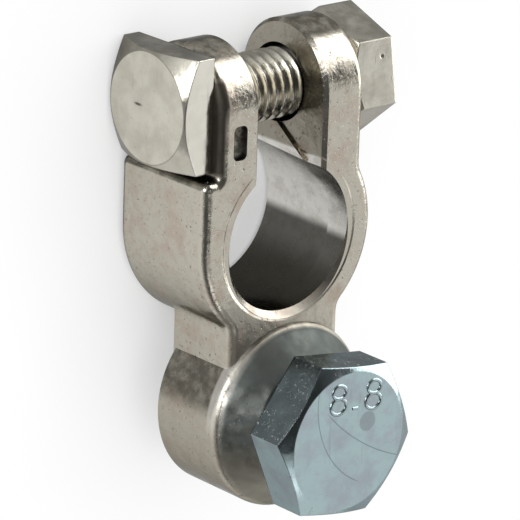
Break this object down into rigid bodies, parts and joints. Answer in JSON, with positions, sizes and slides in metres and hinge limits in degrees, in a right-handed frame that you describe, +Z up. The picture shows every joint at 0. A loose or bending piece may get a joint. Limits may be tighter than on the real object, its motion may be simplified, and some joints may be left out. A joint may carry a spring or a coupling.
{
  "type": "battery terminal clamp",
  "caption": "Forged battery terminal clamp with a split tapered ring, square-head pinch bolt with nut, and a domed side boss with a hexagon cable bolt.",
  "frame": {"origin": "on the post bore axis at the underside plane of the ring", "axes": "+Z up the battery post out of the small end of the bore, +Y from the cable boss towards the ears, +X from the square bolt head towards the nut"},
  "size_m": [0.031, 0.0543, 0.0258],
  "materials": {
    "plated_brass": "satin nickel plating over forged brass, slightly mottled",
    "nickel_steel": "nickel plated, smooth satin",
    "zinc_steel": "bright zinc plated with a blue tint"
  },
  "bodies": {
    "clamp": {"clamp_body": "plated_brass", "pinch_bolt": "nickel_steel"},
    "nut": {"pinch_nut": "nickel_steel"},
    "cable_bolt": {"lug_bolt": "zinc_steel"}
  },
  "joints": [
    {"name": "nut_turn", "type": "hinge", "parent": "clamp", "child": "nut", "pos_m": [0.01335, 0.0152, 0.0066], "axis": [1, 0, 0], "continuous": true},
    {"name": "cable_bolt_turn", "type": "hinge", "parent": "clamp", "child": "cable_bolt", "pos_m": [0.0005, -0.0209, 0.0194], "axis": [0, 0, 1], "continuous": true}
  ]
}
